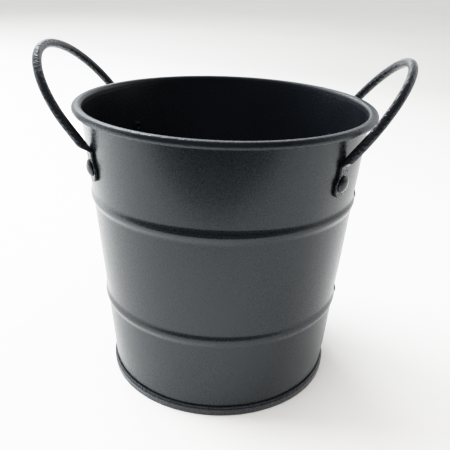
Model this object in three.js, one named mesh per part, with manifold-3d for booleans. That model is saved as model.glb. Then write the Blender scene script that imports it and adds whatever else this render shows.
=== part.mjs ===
// Small florist bucket: a tapered sheet-metal pail with a curled rim, two raised beads,
// a folded side seam, a seamed-on bottom pan and two bent-wire loop handles, each held by two rivets.
// Millimetres, +Z up. The origin is the centre of the footprint, and the handles stand on +X and -X.

import * as THREE from 'three';
import { ConvexGeometry } from 'three/addons/geometries/ConvexGeometry.js';
import { mergeVertices } from 'three/addons/utils/BufferGeometryUtils.js';
import Module from 'manifold-3d';

const wasm = await Module();
wasm.setup();

// ---- driving dimensions ----

const HEIGHT = 126.5;               // floor to the top of the rim
const RIM_RADIUS = 65;              // outermost radius of the rim
const FOOT_RADIUS = 50.8;           // outer radius of the wall cone at floor level
const TAPER = 0.0845;               // outward travel of the wall per unit of height
const SHEET = 0.5;                  // coated sheet thickness
const GAP = 0.3;                    // clearance between separate pieces

const CURL_RADIUS = 1.535;          // round ends of the rim's oval curl
const CURL_HALF_WIDTH = 2.05;

const BEAD_HEIGHTS = [39.8, 88.2];  // centre heights of the two raised beads
const BEAD_RISE = 0.85;             // how far a bead stands proud of the wall
const BEAD_HALF_HEIGHT = 3.4;

const SEAM_WIDTH = 5;               // folded side seam, under the right handle
const SEAM_RISE = 0.5;

const RING_RADIUS = 52.3;           // seam ring round the foot
const RING_HEIGHT = 4.6;
const PAN_FLOOR = 3;                // underside of the recessed bottom

const WIRE_RADIUS = 1.93;           // handle wire
const EAR_ANGLE = THREE.MathUtils.degToRad(35);   // each rivet from the handle's middle
const EAR_THICKNESS = 1.3;          // wire end beaten flat
const EAR_HALF_WIDTH = 4.1;         // beside the rivet
const EAR_DROP = 5.8;               // ear's lower end below its rivet
const NECK_HALF_WIDTH = 3;
const NECK_RISE = 4;                // where the ear has narrowed to its neck, above the rivet
const RAMP_RISE = 6.9;              // where the ear starts to thicken into the wire, above the rivet
const ARCH_FOOT_HEIGHT = 114.5;     // centre of the wire where it has become round
const ARCH_HALF_WIDTH = 34.8;
const ARCH_ROUND = 33.25;           // height of the half-round part, along the leaning plane

const RIVET_HEIGHT = 104.5;         // rivet centres
const HEAD_RADIUS = 3.5;
const HEAD_RISE = 1.6;
const SHANK_RADIUS = 1.3;
const HOLE_RADIUS = SHANK_RADIUS + GAP;
const TAIL_RADIUS = 2.2;            // rolled-over inner end
const TAIL_THICKNESS = 0.9;

// The loops are bent by hand, so they differ a little. reach: the wire's foot in front of the axis;
// leg: straight stretch before the arch rounds over; bend: where the ear's back leaves the wall.
const HANDLES = [
  { name: 'right_handle', side: 1, lean: THREE.MathUtils.degToRad(36.8), reach: 52, leg: 6.6, bend: 114.85 },
  { name: 'left_handle', side: -1, lean: THREE.MathUtils.degToRad(37.2), reach: 53.6, leg: 7.4, bend: 112.35 },
];

const ROUND_SEGMENTS = 48;          // facets round the bucket
const WIRE_SIDES = 10;
const WIRE_STEPS = 32;
const RIVET_SIDES = 16;

// ---- finish: satin black powder coat on every piece ----

const coat = (roughness) => new THREE.MeshStandardMaterial({ color: 0x2c2e30, roughness, metalness: 0.2 });

// ---- manifold helpers ----

function toSolid(geometry) {
  const plain = geometry.index ? geometry.toNonIndexed() : geometry.clone();
  plain.deleteAttribute('normal');
  plain.deleteAttribute('uv');
  const merged = mergeVertices(plain, 1e-4);
  const mesh = new wasm.Mesh({
    numProp: 3,
    vertProperties: new Float32Array(merged.attributes.position.array),
    triVerts: new Uint32Array(merged.index.array),
  });
  mesh.merge();
  return new wasm.Manifold(mesh);
}

function toGeometry(solid) {
  const mesh = solid.getMesh();
  const geometry = new THREE.BufferGeometry();
  geometry.setAttribute('position', new THREE.BufferAttribute(new Float32Array(mesh.vertProperties), 3));
  geometry.setIndex(new THREE.BufferAttribute(new Uint32Array(mesh.triVerts), 1));
  geometry.computeVertexNormals();
  return geometry;
}

// Turns a profile of [radius, height] points, listed anticlockwise, about the Z axis.
function revolve(profile, segments) {
  const points = profile.map(([r, z]) => new THREE.Vector2(r, z));
  return new THREE.LatheGeometry(points, segments).rotateX(Math.PI / 2);
}

// Points on an arc about (r, z), from one angle to another in degrees.
function arc(r, z, radius, from, to, steps) {
  return Array.from({ length: steps + 1 }, (_, i) => {
    const angle = THREE.MathUtils.degToRad(from + ((to - from) * i) / steps);
    return [r + radius * Math.cos(angle), z + radius * Math.sin(angle)];
  });
}

// ---- the wall's shape ----

const coneRadius = (z) => FOOT_RADIUS + TAPER * z;

// Extra radius at height z where a bead swells out of the cone.
function beadRise(z) {
  const rises = BEAD_HEIGHTS.map((centre) => {
    const across = Math.abs(z - centre) / BEAD_HALF_HEIGHT;
    return across < 1 ? BEAD_RISE * Math.cos((across * Math.PI) / 2) ** 2 : 0;
  });
  return Math.max(...rises);
}

// The wall's face from low to high, offset outward, with extra points over the beads.
function wallFace(low, high, offset) {
  const steps = [-1, -0.55, -0.2, 0.2, 0.55, 1];
  const heights = BEAD_HEIGHTS.flatMap((centre) => steps.map((s) => centre + s * BEAD_HALF_HEIGHT));
  return [low, ...heights, high].map((z) => [coneRadius(z) + beadRise(z) + offset, z]);
}

// Frame at a rivet: local Z points straight out of the wall, and local Y runs up the wall.
function onWall(angle, height, offset) {
  const out = new THREE.Vector3(Math.cos(angle), Math.sin(angle), -TAPER).normalize();
  const across = new THREE.Vector3(-Math.sin(angle), Math.cos(angle), 0);
  const up = new THREE.Vector3().crossVectors(out, across);
  const foot = new THREE.Vector3(
    coneRadius(height) * Math.cos(angle),
    coneRadius(height) * Math.sin(angle),
    height,
  ).addScaledVector(out, offset);
  return new THREE.Matrix4().makeBasis(across, up, out).setPosition(foot);
}

const middleAngle = (handle) => (handle.side > 0 ? 0 : Math.PI);
const earAngles = (handle) => [-EAR_ANGLE, EAR_ANGLE].map((turn) => middleAngle(handle) + handle.side * turn);

// A straight cutter through the wall or an ear, on a rivet's axis.
function rivetHole(angle) {
  const cutter = new THREE.CylinderGeometry(HOLE_RADIUS, HOLE_RADIUS, 12, RIVET_SIDES);
  return toSolid(cutter.rotateX(Math.PI / 2).applyMatrix4(onWall(angle, RIVET_HEIGHT, 0)));
}

// ---- pieces ----

// Sheet cone with two beads and an oval outward curl, open under its free edge.
function wallGeometry() {
  const curlHeight = HEIGHT - CURL_RADIUS;
  const outerRound = RIM_RADIUS - CURL_RADIUS;
  const innerRound = outerRound - 2 * (CURL_HALF_WIDTH - CURL_RADIUS);
  const edge = innerRound - 0.4;
  const lowest = 1;
  const outside = wallFace(lowest, 122, 0);
  const inside = wallFace(lowest, 122, -SHEET).reverse();
  const liner = CURL_RADIUS - SHEET;
  const profile = [
    ...outside,
    ...arc(innerRound, curlHeight, liner, 180, 90, 2),
    ...arc(outerRound, curlHeight, liner, 90, -90, 4),
    [edge, curlHeight - liner],
    [edge, curlHeight - CURL_RADIUS],
    ...arc(outerRound, curlHeight, CURL_RADIUS, -90, 90, 6),
    ...arc(innerRound, curlHeight, CURL_RADIUS, 90, 180, 3),
    ...inside,
    outside[0],
  ];
  let wall = toSolid(revolve(profile, ROUND_SEGMENTS));
  wall = wall.add(seamSolid());
  for (const handle of HANDLES) {
    for (const angle of earAngles(handle)) {
      wall = wall.subtract(rivetHole(angle));
    }
  }
  return toGeometry(wall);
}

// Folded side seam: a low upright ridge that follows the wall over both beads.
function seamSolid() {
  const low = RING_HEIGHT + 2 * GAP;
  const high = HEIGHT - 2 * CURL_RADIUS - GAP;
  const front = wallFace(low, high, SEAM_RISE);
  const back = wallFace(low, high, -SHEET / 2).reverse();
  const outline = [...front, ...back].map(([r, z]) => new THREE.Vector2(r, z));
  const ridge = new THREE.ExtrudeGeometry(new THREE.Shape(outline), {
    depth: SEAM_WIDTH,
    bevelEnabled: false,
  });
  ridge.translate(0, 0, -SEAM_WIDTH / 2).rotateX(Math.PI / 2);
  return toSolid(ridge);
}

// Bottom pan: a recessed disc whose edge folds down, under the wall's lower edge and up outside it.
function panGeometry() {
  const flange = coneRadius(0) - SHEET - GAP;
  const groove = SHEET;
  const lipLow = coneRadius(groove) + GAP;
  const lipHigh = coneRadius(RING_HEIGHT) + GAP;
  const inner = flange - SHEET;
  const profile = [
    [0, PAN_FLOOR],
    [inner - 1, PAN_FLOOR],
    [inner, PAN_FLOOR - 1],
    [inner, 0.4],
    [inner + 0.4, 0],
    [RING_RADIUS - 0.5, 0],
    [RING_RADIUS, 0.6],
    [RING_RADIUS, RING_HEIGHT - 0.5],
    [RING_RADIUS - 0.3, RING_HEIGHT],
    [lipHigh, RING_HEIGHT],
    [lipLow, groove],
    [flange, groove],
    [flange, PAN_FLOOR],
    [flange - 0.6, PAN_FLOOR + SHEET],
    [0, PAN_FLOOR + SHEET],
  ];
  return toGeometry(toSolid(revolve(profile, ROUND_SEGMENTS)));
}

// Centre line of the round wire: straight legs and a half-round arch, in a plane that leans outward.
class ArchCurve extends THREE.Curve {
  constructor(handle) {
    super();
    this.handle = handle;
  }

  getPoint(t, target = new THREE.Vector3()) {
    const { side: facing, lean, reach, leg } = this.handle;
    const legShare = 0.1;
    const end = t < 0.5 ? -1 : 1;
    const fromFoot = Math.min(t, 1 - t);
    let across = ARCH_HALF_WIDTH;
    let along = (leg * fromFoot) / legShare;
    if (fromFoot > legShare) {
      const turn = ((fromFoot - legShare) / (0.5 - legShare)) * (Math.PI / 2);
      across = ARCH_HALF_WIDTH * Math.cos(turn);
      along = leg + ARCH_ROUND * Math.sin(turn);
    }
    return target.set(
      facing * (reach + along * Math.sin(lean)),
      end * across,
      ARCH_FOOT_HEIGHT + along * Math.cos(lean),
    );
  }
}

// Flattened wire end: a paddle, wide beside the rivet, that narrows upward to its neck.
function earSolid(angle) {
  const shoulder = 1;
  const outline = new THREE.Shape();
  outline.moveTo(NECK_HALF_WIDTH, RAMP_RISE);
  outline.lineTo(-NECK_HALF_WIDTH, RAMP_RISE);
  outline.lineTo(-NECK_HALF_WIDTH, NECK_RISE);
  outline.lineTo(-EAR_HALF_WIDTH, shoulder);
  outline.absarc(0, EAR_HALF_WIDTH - EAR_DROP, EAR_HALF_WIDTH, Math.PI, 2 * Math.PI, false);
  outline.lineTo(EAR_HALF_WIDTH, shoulder);
  outline.lineTo(NECK_HALF_WIDTH, NECK_RISE);
  const paddle = new THREE.ExtrudeGeometry(outline, {
    depth: EAR_THICKNESS,
    bevelEnabled: false,
    curveSegments: 6,
  });
  return toSolid(paddle.applyMatrix4(onWall(angle, RIVET_HEIGHT, GAP)));
}

// Ramp from the flat neck to the round wire. Its back lies along the wall up to the bend.
function rampSolid(handle, angle, foot) {
  const { side: facing, lean, bend } = handle;
  const ear = onWall(angle, RIVET_HEIGHT, GAP);
  const overlap = 0.5;
  const inset = 0.99;
  const points = [];
  for (const x of [-1, 1]) {
    for (const out of [0, EAR_THICKNESS]) {
      points.push(new THREE.Vector3(x * NECK_HALF_WIDTH, RAMP_RISE - overlap, out).applyMatrix4(ear));
    }
    points.push(new THREE.Vector3(x * 0.7 * WIRE_RADIUS, bend - RIVET_HEIGHT, 0).applyMatrix4(ear));
  }
  for (let i = 0; i < WIRE_SIDES; i += 1) {
    const turn = (2 * Math.PI * i) / WIRE_SIDES;
    const normal = WIRE_RADIUS * inset * Math.sin(turn);
    points.push(new THREE.Vector3(
      foot.x + facing * normal * Math.cos(lean),
      foot.y + WIRE_RADIUS * inset * Math.cos(turn),
      foot.z - normal * Math.sin(lean),
    ));
  }
  return toSolid(new ConvexGeometry(points));
}

function handleGeometry(handle) {
  const section = new THREE.Shape().absarc(0, 0, WIRE_RADIUS, 0, 2 * Math.PI, false);
  const arch = new ArchCurve(handle);
  const wire = new THREE.ExtrudeGeometry(section, {
    steps: WIRE_STEPS,
    curveSegments: WIRE_SIDES / 2,
    extrudePath: arch,
    bevelEnabled: false,
  });
  let solid = toSolid(wire);
  earAngles(handle).forEach((angle, end) => {
    const ear = earSolid(angle).add(rampSolid(handle, angle, arch.getPoint(end)));
    solid = solid.add(ear).subtract(rivetHole(angle));
  });
  return toGeometry(solid);
}

// Semi-tubular rivet: domed head outside the ear, rolled-over hollow end inside the wall.
function rivetGeometry() {
  const headBase = GAP + EAR_THICKNESS + GAP;
  const tailBase = -SHEET - GAP;
  const tailEnd = tailBase - TAIL_THICKNESS;
  const bore = 0.8;
  const dome = [15, 40, 65, 90].map((degrees) => {
    const angle = THREE.MathUtils.degToRad(degrees);
    return [HEAD_RADIUS * Math.cos(angle), headBase + 0.3 + (HEAD_RISE - 0.3) * Math.sin(angle)];
  });
  const profile = [
    [0, tailEnd + 1.2],
    [bore, tailEnd + 1.2],
    [bore, tailEnd + 0.3],
    [bore + 0.4, tailEnd],
    [TAIL_RADIUS - 0.3, tailEnd + 0.1],
    [TAIL_RADIUS, tailEnd + 0.5],
    [TAIL_RADIUS - 0.2, tailBase],
    [SHANK_RADIUS, tailBase],
    [SHANK_RADIUS, headBase],
    [HEAD_RADIUS - 0.1, headBase],
    [HEAD_RADIUS, headBase + 0.2],
    ...dome,
  ];
  return toGeometry(toSolid(revolve(profile, RIVET_SIDES)));
}

// ---- assembly ----

function piece(name, geometry, material) {
  const mesh = new THREE.Mesh(geometry, material);
  mesh.name = name;
  return mesh;
}

const bucket = new THREE.Group();
bucket.add(piece('bucket_wall', wallGeometry(), coat(0.45)));
bucket.add(piece('base_pan', panGeometry(), coat(0.5)));

for (const handle of HANDLES) {
  bucket.add(piece(handle.name, handleGeometry(handle), coat(0.55)));
  for (const angle of earAngles(handle)) {
    const end = Math.sin(angle) < 0 ? 'front' : 'rear';
    const rivet = piece(`${handle.name}_${end}_rivet`, rivetGeometry(), coat(0.4));
    rivet.applyMatrix4(onWall(angle, RIVET_HEIGHT, 0));
    bucket.add(rivet);
  }
}

export default bucket;
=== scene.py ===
"""Looks of a small florist bucket: fine sheet-metal, wire and rivet meshes with a satin black powder coat.

Metres, +Z up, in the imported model's frame. The handles stand on +X (over the side seam) and -X, and -Y
is the front. Every CAD node is replaced by a finer mesh of the same size.
"""

import math

import bpy
from mathutils import Matrix, Vector, noise


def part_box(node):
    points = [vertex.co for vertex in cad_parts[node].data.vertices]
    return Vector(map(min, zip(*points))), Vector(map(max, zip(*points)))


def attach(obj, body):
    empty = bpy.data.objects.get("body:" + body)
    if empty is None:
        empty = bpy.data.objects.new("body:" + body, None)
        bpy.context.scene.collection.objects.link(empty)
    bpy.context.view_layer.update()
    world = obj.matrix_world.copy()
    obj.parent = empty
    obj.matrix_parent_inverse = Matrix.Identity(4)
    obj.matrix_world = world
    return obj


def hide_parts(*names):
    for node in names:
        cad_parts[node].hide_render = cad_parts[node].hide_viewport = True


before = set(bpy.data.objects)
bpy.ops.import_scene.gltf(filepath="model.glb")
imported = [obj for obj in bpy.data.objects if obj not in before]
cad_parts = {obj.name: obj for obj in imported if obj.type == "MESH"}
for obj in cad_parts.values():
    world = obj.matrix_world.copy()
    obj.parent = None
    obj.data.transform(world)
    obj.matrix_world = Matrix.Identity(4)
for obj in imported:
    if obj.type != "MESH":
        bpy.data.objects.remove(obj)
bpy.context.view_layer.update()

# ---- sizes, in metres ----

MM = 0.001
WALL_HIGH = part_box("bucket_wall")[1]
PAN_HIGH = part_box("base_pan")[1]

HEIGHT = WALL_HIGH.z                 # floor to the top of the rim
RIM_RADIUS = WALL_HIGH.y             # outermost radius of the rim
RING_RADIUS = PAN_HIGH.y             # outermost radius of the foot's seam ring
FOOT_RADIUS = 50.8 * MM              # outer radius of the wall cone at floor level
TAPER = 0.0845                       # outward travel of the wall per unit of height
SHEET = 0.5 * MM
GAP = 0.3 * MM                       # clearance between separate pieces

CURL_RADIUS = 1.535 * MM             # round ends of the rim's oval curl
CURL_HALF_WIDTH = 2.05 * MM
CURL_EDGE = 0.4 * MM                 # how far the free edge reaches in, under the curl
WALL_FOOT = 1 * MM                   # lower edge of the sheet, inside the base seam
WALL_TOP = 122 * MM                  # where the cone ends and the curl begins

BEAD_HEIGHTS = (39.8 * MM, 88.2 * MM)
BEAD_RISE = 0.85 * MM
BEAD_HALF_HEIGHT = 3.4 * MM

SEAM_HALF_WIDTH = 2.5 * MM           # folded side seam, on +X
SEAM_RISE = 0.5 * MM
SEAM_EDGE = 0.4 * MM                 # width of its rounded shoulders
SEAM_LINE_DEPTH = 0.22 * MM          # line where the fold closes
SEAM_LINE_HALF_WIDTH = 0.25 * MM
SEAM_LINE_INSET = 0.1 * MM           # line's middle, in from the seam's edge
SEAM_REACH = 4 * MM                  # nothing of the seam is further from its middle than this
SEAM_STEP = 0.3 * MM                 # step of the inner layer, inside the bucket
SEAM_STEP_HALF_WIDTH = 0.15 * MM

RING_HEIGHT = 4.6 * MM               # seam ring round the foot
PAN_FLOOR = 3 * MM                   # underside of the recessed bottom

SNUG = 0.05 * MM                     # what the coat leaves between clamped pieces
WIRE_RADIUS = 1.93 * MM
EAR_ANGLE = math.radians(35)         # each rivet from the handle's middle
EAR_HALF_THICKNESS = 0.65 * MM
EAR_HALF_WIDTH = 4.1 * MM            # beside the rivet
EAR_DROP = 5.8 * MM                  # ear's lower end below its rivet
NECK_HALF_WIDTH = 3 * MM
NECK_RISE = 4.4 * MM                 # where the ear has narrowed to its neck, above the rivet
RAMP_RISE = 6.7 * MM                 # where the ear starts to thicken into the wire, above the rivet
ARCH_FOOT_HEIGHT = 114.5 * MM        # centre of the wire where it has become round
ARCH_HALF_WIDTH = 34.8 * MM
ARCH_ROUND = 33.10 * MM              # height of the half-round part, along the leaning plane
LEG_SHARE = 0.1                      # part of the arch's parameter spent on each leg
ROUND, FLAT = 2.0, 6.0               # squareness of the wire's section, and of the ears'

RIVET_HEIGHT = 104.5 * MM
HEAD_RADIUS = 3.5 * MM
HEAD_RISE = 1.6 * MM
SHANK_RADIUS = 1.3 * MM
TAIL_RADIUS = 2.2 * MM
TAIL_THICKNESS = 0.9 * MM
TAIL_BORE = 0.8 * MM                 # radius of the hollow end
TAIL_BORE_DEPTH = 1.2 * MM
HEAD_EDGE = 0.3 * MM                 # rounding of the head's edge

# reach: the wire's foot in front of the bucket's axis; leg: straight stretch before the arch rounds over
HANDLES = (
    {"name": "right_handle", "side": 1, "lean": math.radians(36.8), "reach": 52 * MM, "leg": 6.6 * MM},
    {"name": "left_handle", "side": -1, "lean": math.radians(37.2), "reach": 53.6 * MM, "leg": 7.4 * MM},
)

# ---- looks ----

DRIFT_SCALE = 28                     # slow change of colour and roughness across a piece
PEEL_SCALE = 420
PEEL_DEPTH = 0.0035 * MM
NIB_SCALE = 210.0                    # one cell is about 5 mm
NIB_SHARE = 0.012                    # part of the cells that hold a raised speck
NIB_DEPTH = 0.12 * MM
COAT_IOR = 1.5
COAT_TINT = (0.85, 0.94, 1.0, 1)     # the coat's reflections are slightly blue
POOL_EDGE = 0.5 * MM                 # width over which plain coat turns into pooled coat
RIM_POOL = {"by": "height", "start": HEIGHT - 3.2 * MM, "depth": 0.22 * MM, "roughness": 0.1}
SEAM_POOL = {"by": "radius", "start": RING_RADIUS - 2.0 * MM, "depth": 0.45 * MM, "roughness": 0.0}

PAPER_NEAR = (0.87, 0.87, 0.865, 1)
# painted shade: the paper's colour far behind the set, darker where the light falls off
PAPER_FAR_PAINTED_SHADE = (0.42, 0.42, 0.415, 1)
PAINTED_SHADE_FALL = (0.08, 0.9)             # metres behind the bucket where the painted shade on the paper starts and ends; it stands in for the light falling off with distance
PAINTED_SHADE_SLANT = 0.4                    # how much sooner the painted shade comes towards +X

# ---- stage ----

CAMERA_PLACE = (27.1 * MM, -257.9 * MM, 181.5 * MM)
CAMERA_PITCH = 0.4143                # below the horizon, in radians
CAMERA_YAW = -0.0757                 # from +Y towards +X
CAMERA_ROLL = -0.0416
CAMERA_SHIFT = (-0.0301, 0.0048)
SENSOR = 36.0
LENS = 48.07

ROOM_DARK = 0.03                     # the world's strength on the camera's side
ROOM_BRIGHT = 1.75                   # and behind the bucket
ROOM_CEILING = 0.06                  # what is left of it overhead
ROOM_COLOUR = (0.95, 0.98, 1.0, 1)
WORLD_SEEN = (0.83, 0.84, 0.85, 1)   # what the camera sees behind the floor
DAYLIGHT = (0.97, 0.99, 1.0)
WARM_LIGHT = (1.0, 0.97, 0.94)

FILM_RANGE = 3.0                     # brightest linear value that the film curve covers
FILM_TOE = 0.008
FILM_STEPS = 12

# ---- small helpers ----


def smooth_step(low, high, value):
    share = min(1.0, max(0.0, (value - low) / (high - low)))
    return share * share * (3 - 2 * share)


def mix(low, high, share):
    return low + (high - low) * share


def arc(r, z, radius, start, end, steps):
    """Points on an arc about (r, z), from one angle to another in degrees."""
    angles = [math.radians(mix(start, end, i / steps)) for i in range(steps + 1)]
    return [(r + radius * math.cos(a), z + radius * math.sin(a)) for a in angles]


def make_object(name, vertices, faces, sharp_angle=40):
    mesh = bpy.data.meshes.new(name)
    mesh.from_pydata(vertices, [], faces)
    mesh.update()
    mesh.shade_smooth()
    mesh.set_sharp_from_angle(angle=math.radians(sharp_angle))
    piece = bpy.data.objects.new(name, mesh)
    bpy.context.scene.collection.objects.link(piece)
    return piece


def ring_faces(rows, columns, closed_rows):
    """Quads between rows of vertices, each row a closed ring."""
    faces = []
    for row in range(rows if closed_rows else rows - 1):
        following = (row + 1) % rows
        for column in range(columns):
            right = (column + 1) % columns
            faces.append((
                row * columns + column,
                row * columns + right,
                following * columns + right,
                following * columns + column,
            ))
    return faces


# ---- the wall ----


def cone_radius(z):
    return FOOT_RADIUS + TAPER * z


def bead_rise(z):
    """Extra radius at height z where a bead swells out of the cone."""
    rise = 0.0
    for centre in BEAD_HEIGHTS:
        across = abs(z - centre) / BEAD_HALF_HEIGHT
        if across < 1:
            rise = BEAD_RISE * math.cos(across * math.pi / 2) ** 2
    return rise


def wall_heights():
    """Heights for the wall's rows, low to high and close together over the beads."""
    heights = []
    edges = [WALL_FOOT]
    for centre in BEAD_HEIGHTS:
        edges += [centre - 1.15 * BEAD_HALF_HEIGHT, centre + 1.15 * BEAD_HALF_HEIGHT]
    edges.append(WALL_TOP)
    for index, (start, end) in enumerate(zip(edges, edges[1:])):
        over_bead = index % 2 == 1
        steps = 20 if over_bead else 8
        heights += [mix(start, end, i / steps) for i in range(steps)]
    return heights + [WALL_TOP]


def wall_profile():
    """Closed (radius, height) outline of the sheet, with which face each point is on."""
    curl_height = HEIGHT - CURL_RADIUS
    outer_round = RIM_RADIUS - CURL_RADIUS
    inner_round = outer_round - 2 * (CURL_HALF_WIDTH - CURL_RADIUS)
    free_edge = inner_round - CURL_EDGE
    liner = CURL_RADIUS - SHEET
    heights = wall_heights()
    outside = [(cone_radius(z) + bead_rise(z), z) for z in heights]
    inside = [(cone_radius(z) + bead_rise(z) - SHEET, z) for z in reversed(heights)]
    under = (
        arc(inner_round, curl_height, liner, 180, 90, 6)
        + arc(outer_round, curl_height, liner, 90, -90, 10)
        + [(free_edge, curl_height - liner)]
    )
    over = (
        [(free_edge, curl_height - CURL_RADIUS)]
        + arc(outer_round, curl_height, CURL_RADIUS, -90, 90, 22)
        + arc(inner_round, curl_height, CURL_RADIUS, 90, 180, 12)
    )
    return (
        [(point, "outside") for point in outside]
        + [(point, "under") for point in under]
        + [(point, "curl") for point in over]
        + [(point, "inside") for point in inside]
    )


def wall_angles():
    """Column angles, close together over the side seam."""
    fine = math.radians(4)
    fine_steps = 48
    coarse_steps = 352
    near = [mix(-fine, fine, i / fine_steps) for i in range(fine_steps)]
    far = [mix(fine, 2 * math.pi - fine, i / coarse_steps) for i in range(coarse_steps)]
    return near + far


def seam_offset(across, face):
    """How far the sheet's face stands out at a distance across from the seam's middle."""
    shoulder = 1 - smooth_step(SEAM_HALF_WIDTH - SEAM_EDGE, SEAM_HALF_WIDTH, abs(across))
    line = 1 - smooth_step(0, SEAM_LINE_HALF_WIDTH, abs(across - SEAM_HALF_WIDTH + SEAM_LINE_INSET))
    if face == "outside":
        return SEAM_RISE * shoulder - SEAM_LINE_DEPTH * line
    if face == "curl":
        return -SEAM_LINE_DEPTH * line
    if face == "inside":
        from_edge = SEAM_HALF_WIDTH - abs(across)
        return -SEAM_STEP * smooth_step(-SEAM_STEP_HALF_WIDTH, SEAM_STEP_HALF_WIDTH, from_edge)
    return 0.0


def sheet_wave(angle, z):
    """Slow unevenness of rolled sheet, under 0.1 mm, that fades out towards the rim."""
    slow_depth, quick_depth = 0.07, 0.025
    slow = Vector((2.2 * math.cos(angle), 2.2 * math.sin(angle), 14 * z))
    quick = Vector((5 * math.cos(angle), 5 * math.sin(angle), 40 * z))
    fade = 1 - smooth_step(HEIGHT - 8 * MM, HEIGHT - 3 * MM, z)
    return (slow_depth * noise.noise(slow) + quick_depth * noise.noise(quick)) * MM * fade


def make_wall():
    """The rolled sheet. Outside, the seam's ridge fades out under the rim and above the foot."""
    profile = wall_profile()
    angles = wall_angles()
    vertices = []
    for (r, z), face in profile:
        top = 1 - smooth_step(HEIGHT - 4.2 * MM, HEIGHT - 3 * MM, z)
        foot = smooth_step(RING_HEIGHT, RING_HEIGHT + 1.2 * MM, z)
        for angle in angles:
            turned = angle if angle < math.pi else angle - 2 * math.pi
            across = turned * cone_radius(z)
            out = sheet_wave(angle, z)
            if abs(across) < SEAM_REACH:
                rise = seam_offset(across, face)
                out += rise * foot * top if face == "outside" else rise
            radius = r + out
            vertices.append((radius * math.cos(angle), radius * math.sin(angle), z))
    faces = ring_faces(len(profile), len(angles), closed_rows=True)
    return make_object("bucket_wall_sheet", vertices, faces, 50)


# ---- the bottom ----


def pan_profile():
    """Outline from the centre of the underside, round the foot's seam, to the centre of the floor."""
    flange = cone_radius(0) - SHEET - GAP
    groove = SHEET
    inner = flange - SHEET
    lip_low = cone_radius(groove) + GAP
    lip_high = cone_radius(RING_HEIGHT) + SNUG
    corner = 0.5 * MM
    foot_round, fold_round, lip_round = 0.45 * MM, 0.28 * MM, 0.5 * MM
    under = [(0.0, PAN_FLOOR), (0.4 * inner, PAN_FLOOR), (0.8 * inner, PAN_FLOOR)]
    under += arc(inner - 1 * MM, PAN_FLOOR - 1 * MM, 1 * MM, 90, 0, 6)
    foot = arc(inner + corner, corner, corner, 180, 270, 5)
    foot += arc(RING_RADIUS - 0.6 * MM, foot_round, foot_round, -90, -10, 5)
    band = [(RING_RADIUS - 0.06 * MM, 2.5 * MM), (RING_RADIUS, 2.75 * MM), (RING_RADIUS, 2.95 * MM)]
    fold = arc(RING_RADIUS - 0.3 * MM, 3.05 * MM, fold_round, 10, 85, 4)
    lip = arc(RING_RADIUS - 0.8 * MM, 3.85 * MM, lip_round, -40, 80, 8)
    seam = [(lip_high, lip[-1][1] - 0.1 * MM), (lip_low, groove), (flange, groove)]
    floor = [(flange, PAN_FLOOR)]
    floor += arc(flange - 0.6 * MM, PAN_FLOOR, 0.5 * MM, 20, 90, 4)
    floor += [(0.8 * inner, PAN_FLOOR + SHEET), (0.4 * inner, PAN_FLOOR + SHEET), (0.0, PAN_FLOOR + SHEET)]
    return under + foot + band + fold + lip + seam + floor


def make_pan():
    """The bottom disc with its seam ring, uneven by less than 0.03 mm."""
    profile = pan_profile()
    columns = 320
    vertices = [(0.0, 0.0, profile[0][1])]
    for r, z in profile[1:-1]:
        for column in range(columns):
            angle = 2 * math.pi * column / columns
            radius = r + 0.03 * MM * noise.noise(Vector((6 * math.cos(angle), 6 * math.sin(angle), 90 * z)))
            radius = min(radius, RING_RADIUS)
            vertices.append((radius * math.cos(angle), radius * math.sin(angle), z))
    vertices.append((0.0, 0.0, profile[-1][1]))
    rows = len(profile) - 2
    faces = [tuple(1 + i for i in face) for face in ring_faces(rows, columns, closed_rows=False)]
    last = len(vertices) - 1
    for column in range(columns):
        right = (column + 1) % columns
        faces.append((0, 1 + right, 1 + column))
        faces.append((last, last - columns + column, last - columns + right))
    return make_object("base_pan_sheet", vertices, faces, 35)


# ---- handles ----


def on_wall(angle, height):
    """Frame at a rivet: X across, Y up the wall, Z straight out of it."""
    out = Vector((math.cos(angle), math.sin(angle), -TAPER)).normalized()
    across = Vector((-math.sin(angle), math.cos(angle), 0.0))
    up = out.cross(across)
    radius = cone_radius(height)
    foot = Vector((radius * math.cos(angle), radius * math.sin(angle), height))
    axes = Matrix((across, up, out)).transposed().to_4x4()
    return Matrix.Translation(foot) @ axes


def ear_angles(handle):
    """Angles of the rivets at the front and the rear of a handle."""
    middle = 0.0 if handle["side"] > 0 else math.pi
    return middle - handle["side"] * EAR_ANGLE, middle + handle["side"] * EAR_ANGLE


def arch_point(handle, t):
    """Centre of the round wire, from the front foot at t = 0 to the rear foot at t = 1."""
    from_foot = min(t, 1 - t)
    across = ARCH_HALF_WIDTH
    along = handle["leg"] * from_foot / LEG_SHARE
    if from_foot > LEG_SHARE:
        turn = (from_foot - LEG_SHARE) / (0.5 - LEG_SHARE) * math.pi / 2
        across = ARCH_HALF_WIDTH * math.cos(turn)
        along = handle["leg"] + ARCH_ROUND * math.sin(turn)
    return Vector((
        handle["side"] * (handle["reach"] + along * math.sin(handle["lean"])),
        across if t > 0.5 else -across,
        ARCH_FOOT_HEIGHT + along * math.cos(handle["lean"]),
    ))


def plane_normal(handle):
    """Outward normal of the plane that the loop lies in."""
    return Vector((handle["side"] * math.cos(handle["lean"]), 0.0, -math.sin(handle["lean"])))


def bend_point(handle, inner):
    """Where the wire's inner side, followed down its leg, meets the wall."""
    down = Vector((-handle["side"] * math.sin(handle["lean"]), 0.0, -math.cos(handle["lean"])))
    point = inner.copy()
    while math.hypot(point.x, point.y) > cone_radius(point.z) + SNUG:
        point += down * 0.02 * MM
    return point


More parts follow.
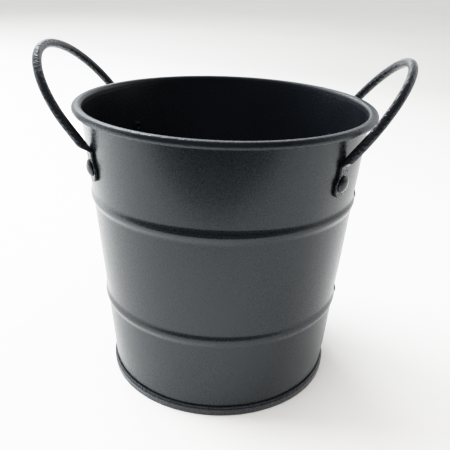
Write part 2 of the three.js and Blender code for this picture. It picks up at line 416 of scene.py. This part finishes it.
def ear_sections(handle, angle, foot):
    """Sections of a flattened wire end, from its tip up to where the wire is round.

    A section is (centre, across, out, half width, half thickness, squareness).
    """
    wall = on_wall(angle, RIVET_HEIGHT)
    across = wall.col[0].to_3d()
    out = wall.col[2].to_3d()
    tip_steps = 14
    tip = [EAR_HALF_WIDTH * (1 - math.cos(math.radians(4 + 86 * i / tip_steps))) for i in range(tip_steps)]
    flat_steps = 20
    flat = [mix(EAR_HALF_WIDTH, EAR_DROP + RAMP_RISE, i / flat_steps) for i in range(flat_steps)]
    sections = []
    for above_tip in tip + flat:
        y = above_tip - EAR_DROP
        half_width = mix(EAR_HALF_WIDTH, NECK_HALF_WIDTH, smooth_step(0.6 * MM, NECK_RISE, y))
        if above_tip < EAR_HALF_WIDTH:
            half_width = math.sqrt(EAR_HALF_WIDTH**2 - (EAR_HALF_WIDTH - above_tip) ** 2)
        centre = wall @ Vector((0.0, y, SNUG + EAR_HALF_THICKNESS))
        sections.append((centre, across, out, half_width, EAR_HALF_THICKNESS, FLAT))
    return sections + ramp_sections(handle, wall, foot)


def ramp_sections(handle, wall, foot):
    """Sections of the ramp from the flat neck to the round wire; its back follows the wall to the bend."""
    normal = plane_normal(handle)
    neck = wall @ Vector((0.0, RAMP_RISE, SNUG))
    inner = foot - normal * WIRE_RADIUS
    bend = bend_point(handle, inner)
    first, second = (bend - neck).length, (inner - bend).length
    corner = first / (first + second)
    out = wall.col[2].to_3d()
    across = wall.col[0].to_3d()
    level = Vector((0.0, math.copysign(1.0, across.y), 0.0))
    steps = 22
    sections = []
    for step in range(steps):
        t = step / steps
        if t < corner:
            back = neck.lerp(bend, t / corner)
        else:
            back = bend.lerp(inner, (t - corner) / (1 - corner))
        turn = smooth_step(corner - 0.25, 1.0, t)
        facing = out.lerp(normal, turn).normalized()
        sideways = across.lerp(level, turn)
        sideways = (sideways - facing * sideways.dot(facing)).normalized()
        half_width = mix(NECK_HALF_WIDTH, WIRE_RADIUS, smooth_step(0.0, 0.85, t))
        half_thickness = mix(EAR_HALF_THICKNESS, WIRE_RADIUS, mix(t, smooth_step(0.0, 0.9, t), 0.6))
        sections.append((
            back + facing * half_thickness,
            sideways,
            facing,
            half_width,
            half_thickness,
            mix(FLAT, ROUND, smooth_step(0.0, 0.75, t)),
        ))
    return sections


def wire_sections(handle):
    """Round sections along the arch, front foot to rear foot."""
    normal = plane_normal(handle)
    steps = 160
    step = 1 / steps
    sections = []
    for index in range(steps + 1):
        t = index * step
        before = arch_point(handle, max(0.0, t - step))
        after = arch_point(handle, min(1.0, t + step))
        across = (after - before).normalized().cross(normal)
        sections.append((arch_point(handle, t), across, normal, WIRE_RADIUS, WIRE_RADIUS, ROUND))
    return sections


def section_ring(section, sides):
    centre, across, out, half_width, half_thickness, squareness = section
    ring = []
    for side in range(sides):
        angle = -2 * math.pi * side / sides
        c, s = math.cos(angle), math.sin(angle)
        x = math.copysign(abs(c) ** (2 / squareness), c) * half_width
        y = math.copysign(abs(s) ** (2 / squareness), s) * half_thickness
        ring.append(centre + across * x + out * y)
    return ring


def make_handle(handle):
    """One closed skin: front ear, ramp, arch, ramp, rear ear."""
    sides = 40
    front_angle, rear_angle = ear_angles(handle)
    front = ear_sections(handle, front_angle, arch_point(handle, 0))
    rear = [
        (centre, -across, *rest)
        for centre, across, *rest in reversed(ear_sections(handle, rear_angle, arch_point(handle, 1)))
    ]
    rings = [section_ring(section, sides) for section in front + wire_sections(handle) + rear]
    vertices = [tuple(point) for ring in rings for point in ring]
    faces = ring_faces(len(rings), sides, closed_rows=False)
    faces.append(tuple(range(sides))[::-1])
    faces.append(tuple(range(len(vertices) - sides, len(vertices))))
    return make_object(handle["name"] + "_wire", vertices, faces, 50)


# ---- rivets ----


def make_rivet(name, angle):
    """Semi-tubular rivet: a low dome with a rounded edge outside, and a hollow tail rolled over inside."""
    head_base = SNUG + 2 * EAR_HALF_THICKNESS + SNUG
    tail_base = -SHEET - SNUG
    tail_end = tail_base - TAIL_THICKNESS
    bore_end = tail_end + TAIL_BORE_DEPTH
    middle = (TAIL_BORE + TAIL_RADIUS) / 2
    roll = (TAIL_RADIUS - TAIL_BORE) / 2
    profile = [(0.0, bore_end), (0.5 * TAIL_BORE, bore_end), (TAIL_BORE, bore_end - 0.05 * MM)]
    profile += arc(middle, tail_end + 0.45 * MM, roll, 180, 345, 12)
    profile += [(TAIL_RADIUS - 0.15 * MM, tail_base), (SHANK_RADIUS, tail_base), (SHANK_RADIUS, head_base)]
    profile += arc(HEAD_RADIUS - HEAD_EDGE, head_base + HEAD_EDGE, HEAD_EDGE, -90, 20, 6)
    cap_foot = profile[-1][1]
    cap_rise = head_base + HEAD_RISE - cap_foot
    cap_radius = (profile[-1][0] ** 2 + cap_rise**2) / (2 * cap_rise)
    rim_turn = math.degrees(math.asin(profile[-1][0] / cap_radius))
    profile += arc(0.0, cap_foot + cap_rise - cap_radius, cap_radius, 90 - rim_turn, 90, 16)[1:]
    profile[-1] = (0.0, head_base + HEAD_RISE)
    columns = 48
    place = on_wall(angle, RIVET_HEIGHT)
    vertices = [place @ Vector((0.0, 0.0, profile[0][1]))]
    for r, z in profile[1:-1]:
        for column in range(columns):
            turn = 2 * math.pi * column / columns
            vertices.append(place @ Vector((r * math.cos(turn), r * math.sin(turn), z)))
    vertices.append(place @ Vector((0.0, 0.0, profile[-1][1])))
    rows = len(profile) - 2
    faces = [tuple(1 + i for i in face) for face in ring_faces(rows, columns, closed_rows=False)]
    last = len(vertices) - 1
    for column in range(columns):
        right = (column + 1) % columns
        faces.append((0, 1 + right, 1 + column))
        faces.append((last, last - columns + column, last - columns + right))
    return make_object(name, vertices, faces, 45)


# ---- finish ----


class Nodes:
    """A short way to build a material's node tree."""

    def __init__(self, name):
        self.material = bpy.data.materials.new(name)
        self.material.use_nodes = True
        self.tree = self.material.node_tree
        self.shader = self.tree.nodes["Principled BSDF"]
        self.place = self.add("ShaderNodeTexCoord").outputs["Object"]

    def add(self, kind, **values):
        node = self.tree.nodes.new(kind)
        for key, value in values.items():
            if hasattr(node, key):
                setattr(node, key, value)
            else:
                node.inputs[key].default_value = value
        return node

    def link(self, source, target):
        self.tree.links.new(source, target)

    def noise(self, scale, detail=3.0, roughness=0.5):
        node = self.add("ShaderNodeTexNoise", Scale=scale, Detail=detail, Roughness=roughness)
        self.link(self.place, node.inputs["Vector"])
        return node.outputs["Fac"]

    def ramp(self, source, low, high, low_value=0.0, high_value=1.0):
        node = self.add("ShaderNodeMapRange", clamp=True)
        node.inputs["From Min"].default_value = low
        node.inputs["From Max"].default_value = high
        node.inputs["To Min"].default_value = low_value
        node.inputs["To Max"].default_value = high_value
        self.link(source, node.inputs["Value"])
        return node.outputs["Result"]

    def maths(self, operation, first, second):
        node = self.add("ShaderNodeMath", operation=operation)
        for socket, value in zip(node.inputs, (first, second)):
            if isinstance(value, (int, float)):
                socket.default_value = value
            else:
                self.link(value, socket)
        return node.outputs[0]


def pooled_share(nodes, pooled):
    """0 on plain sheet, 1 where the coat has pooled: above a height, or outside a radius."""
    parts = nodes.add("ShaderNodeSeparateXYZ")
    nodes.link(nodes.place, parts.inputs[0])
    source = parts.outputs[2]
    if pooled["by"] == "radius":
        flat = nodes.add("ShaderNodeCombineXYZ")
        nodes.link(parts.outputs[0], flat.inputs[0])
        nodes.link(parts.outputs[1], flat.inputs[1])
        length = nodes.add("ShaderNodeVectorMath", operation="LENGTH")
        nodes.link(flat.outputs[0], length.inputs[0])
        source = length.outputs["Value"]
    return nodes.ramp(source, pooled["start"], pooled["start"] + POOL_EDGE)


def powder_coat(name, colour, roughness, grain_scale, grain_depth, pooled=None):
    """Satin black powder coat: slow colour drift, orange peel, a grain that glints, and rare nibs.

    pooled says where the coat has pooled, and the grain's depth and the added roughness there.
    """
    nodes = Nodes(name)
    drift = nodes.noise(DRIFT_SCALE, 4.0)
    grain = nodes.noise(grain_scale, 1.5, 0.6)
    peel = nodes.noise(PEEL_SCALE, 2.0)

    tint = nodes.add("ShaderNodeMix", data_type="RGBA")
    nodes.link(nodes.ramp(drift, 0.3, 0.7), tint.inputs[0])
    tint.inputs[6].default_value = (*(0.85 * c for c in colour), 1)
    tint.inputs[7].default_value = (*(1.18 * c for c in colour), 1)
    nodes.link(tint.outputs[2], nodes.shader.inputs["Base Color"])

    slow = nodes.ramp(drift, 0.3, 0.7, -0.03, 0.03)
    uneven = nodes.maths("ADD", slow, nodes.ramp(grain, 0.3, 0.7, -0.03, 0.03))
    rough = nodes.maths("ADD", uneven, roughness)
    if pooled is not None:
        share = pooled_share(nodes, pooled)
        rough = nodes.maths("ADD", rough, nodes.maths("MULTIPLY", share, pooled["roughness"]))
    nodes.link(rough, nodes.shader.inputs["Roughness"])

    nibs = nodes.add("ShaderNodeTexVoronoi", Scale=NIB_SCALE, feature="F1")
    nodes.link(nodes.place, nibs.inputs["Vector"])
    pick = nodes.add("ShaderNodeSeparateColor")
    nodes.link(nibs.outputs["Color"], pick.inputs["Color"])
    chosen = nodes.ramp(pick.outputs[0], 1 - NIB_SHARE, 1 - NIB_SHARE + 0.002)
    nib = nodes.maths("MULTIPLY", chosen, nodes.ramp(nibs.outputs["Distance"], 0.09, 0.03))

    normal = None
    for height, depth in ((peel, PEEL_DEPTH), (grain, grain_depth), (nib, NIB_DEPTH)):
        bump = nodes.add("ShaderNodeBump", Strength=1.0, Distance=depth)
        nodes.link(height, bump.inputs["Height"])
        if height is grain and pooled is not None:
            nodes.link(nodes.ramp(share, 0, 1, grain_depth, pooled["depth"]), bump.inputs["Distance"])
        if normal is not None:
            nodes.link(normal, bump.inputs["Normal"])
        normal = bump.outputs["Normal"]
    nodes.link(normal, nodes.shader.inputs["Normal"])
    nodes.shader.inputs["IOR"].default_value = COAT_IOR
    nodes.shader.inputs["Specular Tint"].default_value = COAT_TINT
    return nodes.material


def floor_paper_painted_shade():
    """Pale paper with painted shade: its colour darkens to a softer grey behind the set, standing in for
    the light falling off there.
    """
    nodes = Nodes("pale_floor_painted_shade")
    drift = nodes.noise(3.0, 3.0)
    parts = nodes.add("ShaderNodeSeparateXYZ")
    nodes.link(nodes.place, parts.inputs[0])
    slant = nodes.maths("MULTIPLY", parts.outputs[0], PAINTED_SHADE_SLANT)
    # painted shade: darker with distance behind the set, and sooner towards +X
    painted_falloff = nodes.ramp(nodes.maths("ADD", parts.outputs[1], slant), *PAINTED_SHADE_FALL)
    shade = nodes.maths("ADD", nodes.maths("MULTIPLY", painted_falloff, 0.95), nodes.ramp(drift, 0.3, 0.7, 0.0, 0.05))
    tint = nodes.add("ShaderNodeMix", data_type="RGBA")
    nodes.link(shade, tint.inputs[0])
    tint.inputs[6].default_value = PAPER_NEAR
    tint.inputs[7].default_value = PAPER_FAR_PAINTED_SHADE
    nodes.link(tint.outputs[2], nodes.shader.inputs["Base Color"])
    nodes.shader.inputs["Roughness"].default_value = 0.6
    return nodes.material


def set_piece(piece, material, node):
    piece.data.materials.append(material)
    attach(piece, "root")
    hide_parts(node)


# ---- camera, floor and lights ----


def make_camera():
    data = bpy.data.cameras.new("camera")
    data.sensor_width = SENSOR
    data.lens = LENS
    data.shift_x, data.shift_y = CAMERA_SHIFT
    data.clip_start = 0.01
    camera = bpy.data.objects.new("camera", data)
    level = math.cos(CAMERA_PITCH)
    forward = Vector((math.sin(CAMERA_YAW) * level, math.cos(CAMERA_YAW) * level, -math.sin(CAMERA_PITCH)))
    right = Vector((math.cos(CAMERA_YAW), -math.sin(CAMERA_YAW), 0.0))
    down = forward.cross(right)
    tilted_right = right * math.cos(CAMERA_ROLL) + down * math.sin(CAMERA_ROLL)
    tilted_down = down * math.cos(CAMERA_ROLL) - right * math.sin(CAMERA_ROLL)
    axes = Matrix((tilted_right, -tilted_down, -forward)).transposed()
    camera.matrix_world = Matrix.Translation(CAMERA_PLACE) @ axes.to_4x4()
    bpy.context.scene.collection.objects.link(camera)
    bpy.context.scene.camera = camera


def make_floor():
    half = 9.0
    steps = 24
    vertices = []
    for row in range(steps + 1):
        for column in range(steps + 1):
            vertices.append((mix(-half, half, column / steps), mix(-half, half, row / steps), 0.0))
    faces = []
    for row in range(steps):
        for column in range(steps):
            corner = row * (steps + 1) + column
            faces.append((corner, corner + 1, corner + steps + 2, corner + steps + 1))
    floor = make_object("floor", vertices, faces)
    floor.data.materials.append(floor_paper_painted_shade())


def make_flag(name, near, far, half_width, height):
    """A black card lying just over the floor, in front of the set: it shows only as a reflection, a painted
    dark reflection of the floor in front of the bucket.
    """
    nodes = Nodes(name)
    nodes.shader.inputs["Base Color"].default_value = (0.01, 0.01, 0.01, 1)
    nodes.shader.inputs["Roughness"].default_value = 1.0
    corners = [
        (-half_width, far, height),
        (half_width, far, height),
        (half_width, near, height),
        (-half_width, near, height),
    ]
    flag = make_object(name, corners, [(0, 1, 2, 3)])
    flag.data.materials.append(nodes.material)
    flag.visible_camera = False
    flag.visible_shadow = False
    flag.visible_diffuse = False


def area_light(name, place, target, size, power, reflected):
    data = bpy.data.lights.new(name, "AREA")
    data.shape = "RECTANGLE"
    data.size = data.size_y = size
    data.energy = power
    data.color = DAYLIGHT
    light = bpy.data.objects.new(name, data)
    light.location = place
    light.rotation_mode = "QUATERNION"
    light.rotation_quaternion = (Vector(target) - Vector(place)).to_track_quat("-Z", "Y")
    light.visible_glossy = reflected
    bpy.context.scene.collection.objects.link(light)


def soft_sun(name, source, spread, power, colour):
    """Light from a wide patch of sky in the given direction. It is left out of reflections."""
    data = bpy.data.lights.new(name, "SUN")
    data.angle = math.radians(spread)
    data.energy = power
    data.color = colour
    light = bpy.data.objects.new(name, data)
    light.rotation_mode = "QUATERNION"
    light.rotation_quaternion = Vector(source).to_track_quat("Z", "Y")
    light.visible_glossy = False
    bpy.context.scene.collection.objects.link(light)


def make_world():
    """A room: bright behind and to the left, dark overhead and on the camera's side."""
    world = bpy.data.worlds.new("studio")
    world.use_nodes = True
    tree = world.node_tree
    lit = tree.nodes["Background"]
    way = tree.nodes.new("ShaderNodeTexCoord")
    parts = tree.nodes.new("ShaderNodeSeparateXYZ")
    tree.links.new(way.outputs["Generated"], parts.inputs[0])

    def ramp(source, low, high, low_value, high_value):
        node = tree.nodes.new("ShaderNodeMapRange")
        node.interpolation_type = "SMOOTHSTEP"
        node.inputs["From Min"].default_value = low
        node.inputs["From Max"].default_value = high
        node.inputs["To Min"].default_value = low_value
        node.inputs["To Max"].default_value = high_value
        tree.links.new(source, node.inputs["Value"])
        return node.outputs["Result"]

    def times(first, second):
        node = tree.nodes.new("ShaderNodeMath")
        node.operation = "MULTIPLY"
        tree.links.new(first, node.inputs[0])
        tree.links.new(second, node.inputs[1])
        return node.outputs[0]

    depth = ramp(parts.outputs["Y"], -0.35, 0.35, ROOM_DARK, ROOM_BRIGHT)
    window = ramp(parts.outputs["X"], 0.9, -0.9, 0.8, 1.3)
    ceiling = ramp(parts.outputs["Z"], 0.25, 0.85, 1.0, ROOM_CEILING)
    tree.links.new(times(times(depth, window), ceiling), lit.inputs["Strength"])
    lit.inputs["Color"].default_value = ROOM_COLOUR

    seen = tree.nodes.new("ShaderNodeBackground")
    seen.inputs["Color"].default_value = WORLD_SEEN
    path = tree.nodes.new("ShaderNodeLightPath")
    pick = tree.nodes.new("ShaderNodeMixShader")
    tree.links.new(path.outputs["Is Camera Ray"], pick.inputs[0])
    tree.links.new(lit.outputs[0], pick.inputs[1])
    tree.links.new(seen.outputs[0], pick.inputs[2])
    tree.links.new(pick.outputs[0], tree.nodes["World Output"].inputs["Surface"])
    bpy.context.scene.world = world


def film_response(light):
    """Output for a linear input: a soft toe, a straight middle and a shoulder that holds the pale floor."""
    toe = light * light / (light + FILM_TOE)
    return toe / (1 + toe**3) ** (1 / 3)


def set_film():
    settings = bpy.context.scene.view_settings
    settings.view_transform = "Standard"
    settings.use_curve_mapping = True
    curves = settings.curve_mapping
    curves.white_level = (FILM_RANGE, FILM_RANGE, FILM_RANGE)
    curve = curves.curves[3]  # the one that acts on red, green and blue together
    levels = [(i / FILM_STEPS) ** 2 for i in range(FILM_STEPS + 1)]
    for level in levels[1:-1]:
        curve.points.new(level, film_response(level * FILM_RANGE))
    curve.points[-1].location = (1.0, film_response(FILM_RANGE))
    curves.update()


make_camera()
make_floor()
# painted dark reflection: a black sheet seen only in the coat's reflections of the front floor
make_flag("front_flag_painted_reflection", -0.215, -1.6, 1.2, 1 * MM)
make_world()
soft_sun("overhead", (-0.15, -0.25, 1.0), 90, 4.2, WARM_LIGHT)
area_light("key", (-1.12, 0.36, 0.58), (0, 0, 0.05), 1.1, 50, reflected=False)
area_light("window", (-0.7, 1.3, 1.15), (0, 0, 0.05), 0.6, 14, reflected=True)
set_film()

# ---- the object ----

WALL_COAT = powder_coat("wall_coat", (0.0065, 0.0080, 0.0105), 0.28, 1300, 0.0012 * MM, RIM_POOL)
# painted light: the base pan has the wall's black coat, made lighter so that its seam ring looks lit
BASE_COAT_PAINTED_LIGHT = powder_coat("base_coat", (0.018, 0.020, 0.023), 0.26, 1100, 0.004 * MM, SEAM_POOL)
HANDLE_COAT = powder_coat("handle_coat", (0.0095, 0.0105, 0.0130), 0.24, 900, 0.62 * MM)
RIVET_COAT = powder_coat("rivet_coat", (0.0050, 0.0060, 0.0075), 0.22, 1400, 0.02 * MM)

set_piece(make_wall(), WALL_COAT, "bucket_wall")
set_piece(make_pan(), BASE_COAT_PAINTED_LIGHT, "base_pan")
for handle in HANDLES:
    set_piece(make_handle(handle), HANDLE_COAT, handle["name"])
    for end, angle in zip(("front", "rear"), ear_angles(handle)):
        node = f"{handle['name']}_{end}_rivet"
        set_piece(make_rivet(node + "_body", angle), RIVET_COAT, node)
